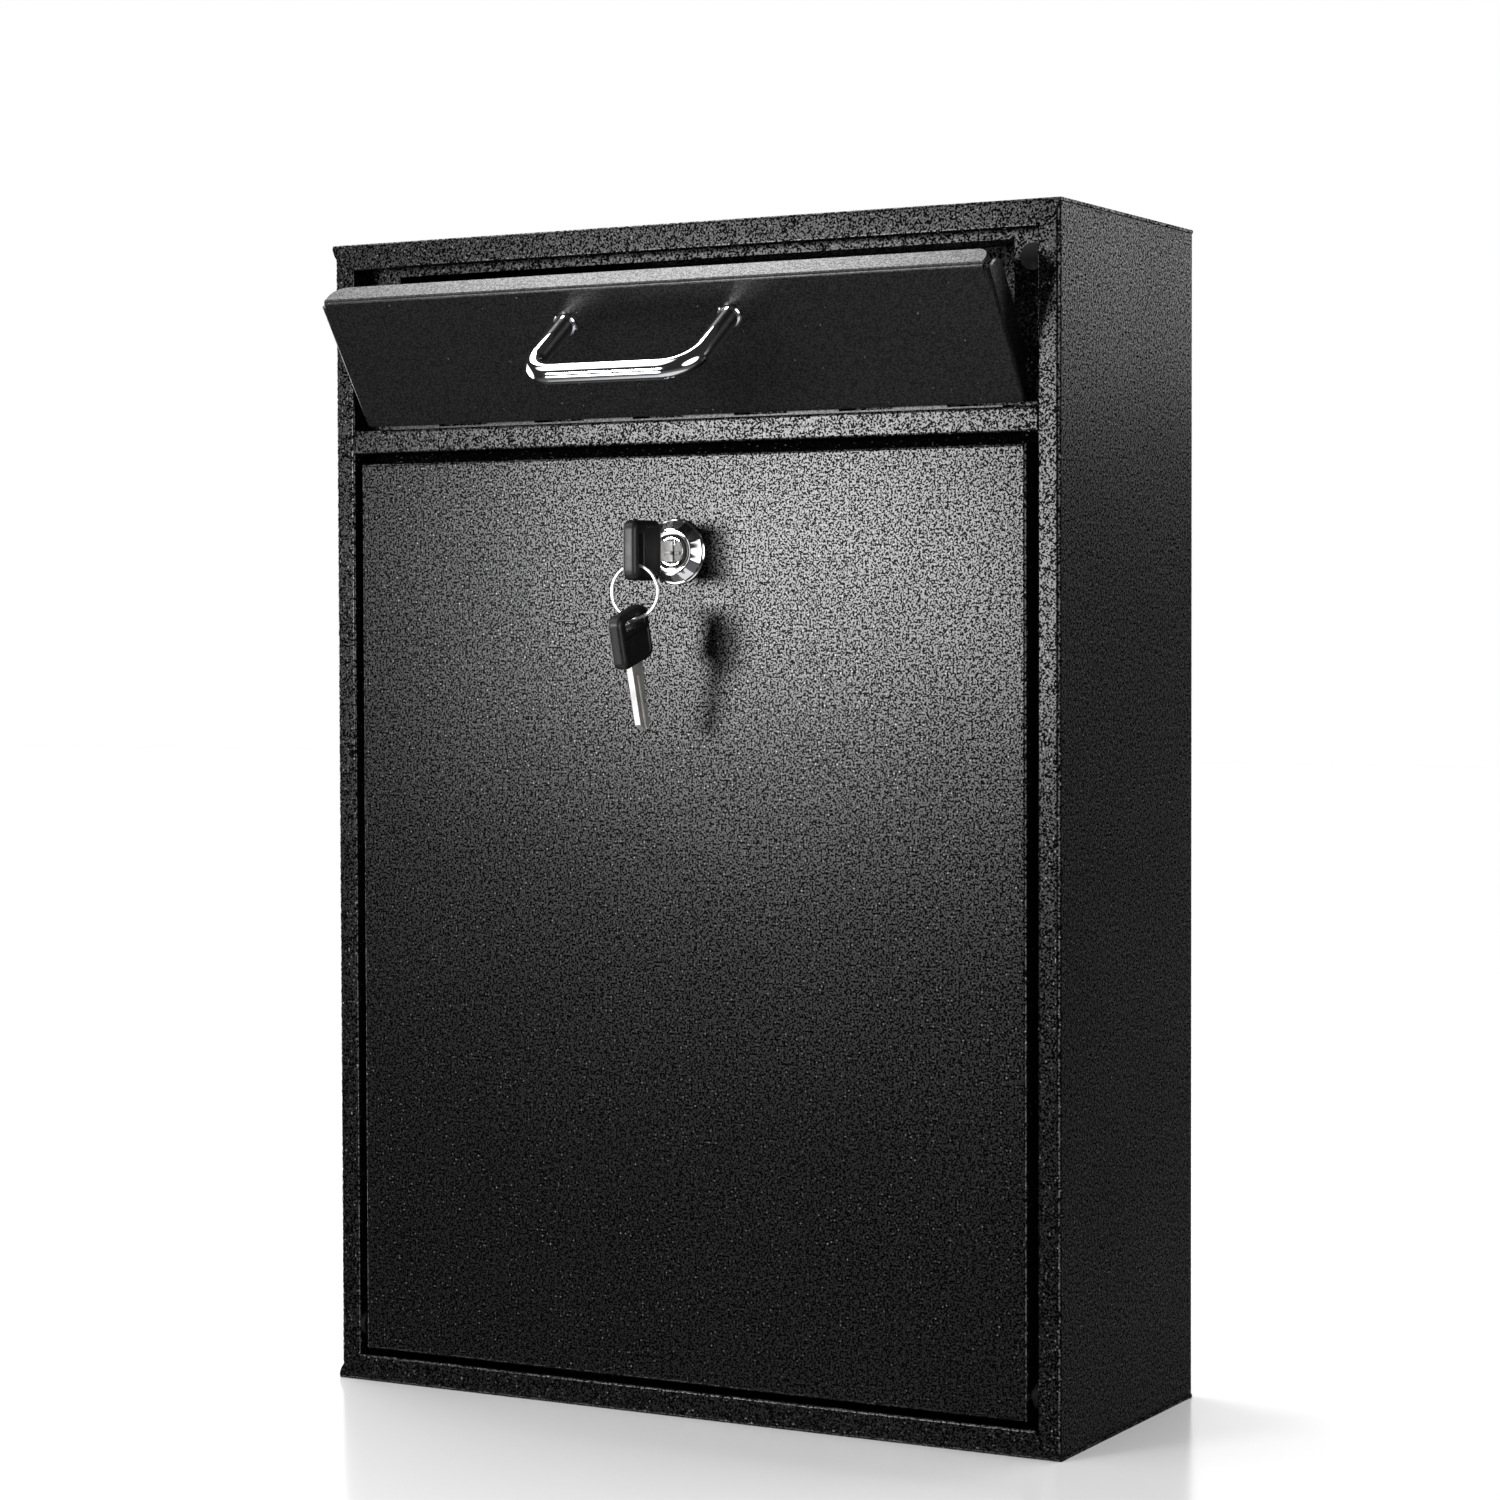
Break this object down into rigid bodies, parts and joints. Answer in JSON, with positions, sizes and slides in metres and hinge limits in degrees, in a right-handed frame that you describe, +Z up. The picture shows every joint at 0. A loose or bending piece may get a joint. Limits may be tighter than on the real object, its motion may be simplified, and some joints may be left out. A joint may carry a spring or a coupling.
{
  "type": "parcel drop box",
  "caption": "Wall or table drop box in folded black sheet steel: tilting mail flap with bow handle above a drop-down door with cam lock, key and spare key on a ring.",
  "frame": {"origin": "middle of the underside of the base, on the surface that the box stands on", "axes": "+X to the right seen from the front, +Y back towards the wall, +Z up; the flap is drawn open on its stops"},
  "size_m": [0.285, 0.1706, 0.4115],
  "materials": {
    "hammered_black": "black powder coat with a fine hammered grain",
    "satin_black": "smooth satin black paint",
    "zinc_steel": "zinc-plated steel",
    "polished_chrome": "polished chrome plate",
    "nickel_plate": "bright nickel plate",
    "black_rubber": "matt black rubber",
    "key_plastic": "moulded black plastic, half gloss",
    "black_nylon": "moulded black nylon"
  },
  "bodies": {
    "case": {"body_shell": "hammered_black", "top_cap": "hammered_black", "base_tray": "hammered_black", "mid_rail": "hammered_black", "slot_frame": "hammered_black", "anti_fishing_baffle": "hammered_black", "baffle_rivets": "zinc_steel", "flap_bumpers": "black_rubber", "door_bumpers": "black_rubber", "rail_hinge_leaf": "satin_black", "flap_hinge_pin": "satin_black", "door_pivot_bushes": "black_nylon"},
    "flap": {"flap_panel": "satin_black", "flap_hinge_leaf": "satin_black", "flap_stop_arms": "zinc_steel", "flap_handle": "polished_chrome", "handle_screws": "zinc_steel", "handle_washers": "zinc_steel"},
    "door": {"door_panel": "hammered_black", "door_stiffeners": "hammered_black", "door_pivot_pins": "zinc_steel", "lock_body": "polished_chrome", "lock_nut": "zinc_steel", "lock_washer": "zinc_steel"},
    "lock_core": {"lock_core": "nickel_plate", "lock_cam": "zinc_steel", "cam_washer": "zinc_steel", "cam_screw": "zinc_steel"},
    "key": {"key_blade": "nickel_plate", "key_bow": "key_plastic"},
    "ring": {"key_ring": "nickel_plate"},
    "spare_key": {"spare_key_blade": "nickel_plate", "spare_key_bow": "key_plastic"}
  },
  "joints": [
    {"name": "flap_hinge", "type": "hinge", "parent": "case", "child": "flap", "pos_m": [0, -0.0561, 0.3495], "axis": [1, 0, 0], "range_deg": [-35, 0]},
    {"name": "door_hinge", "type": "hinge", "parent": "case", "child": "door", "pos_m": [0, -0.054, 0.02], "axis": [1, 0, 0], "range_deg": [0, 85]},
    {"name": "lock_turn", "type": "hinge", "parent": "door", "child": "lock_core", "pos_m": [0, -0.0636, 0.299], "axis": [0, -1, 0], "range_deg": [0, 90]},
    {"name": "key_slide", "type": "slide", "parent": "lock_core", "child": "key", "axis": [0, -1, 0], "range_m": [0, 0.03]},
    {"name": "ring_swing", "type": "hinge", "parent": "key", "child": "ring", "pos_m": [0, -0.0887, 0.29375], "axis": [1, 0, 0], "range_deg": [-20, 10]},
    {"name": "spare_key_swing", "type": "hinge", "parent": "ring", "child": "spare_key", "pos_m": [0, -0.0887, 0.27635], "axis": [1, 0, 0], "range_deg": [-12, 12]}
  ]
}
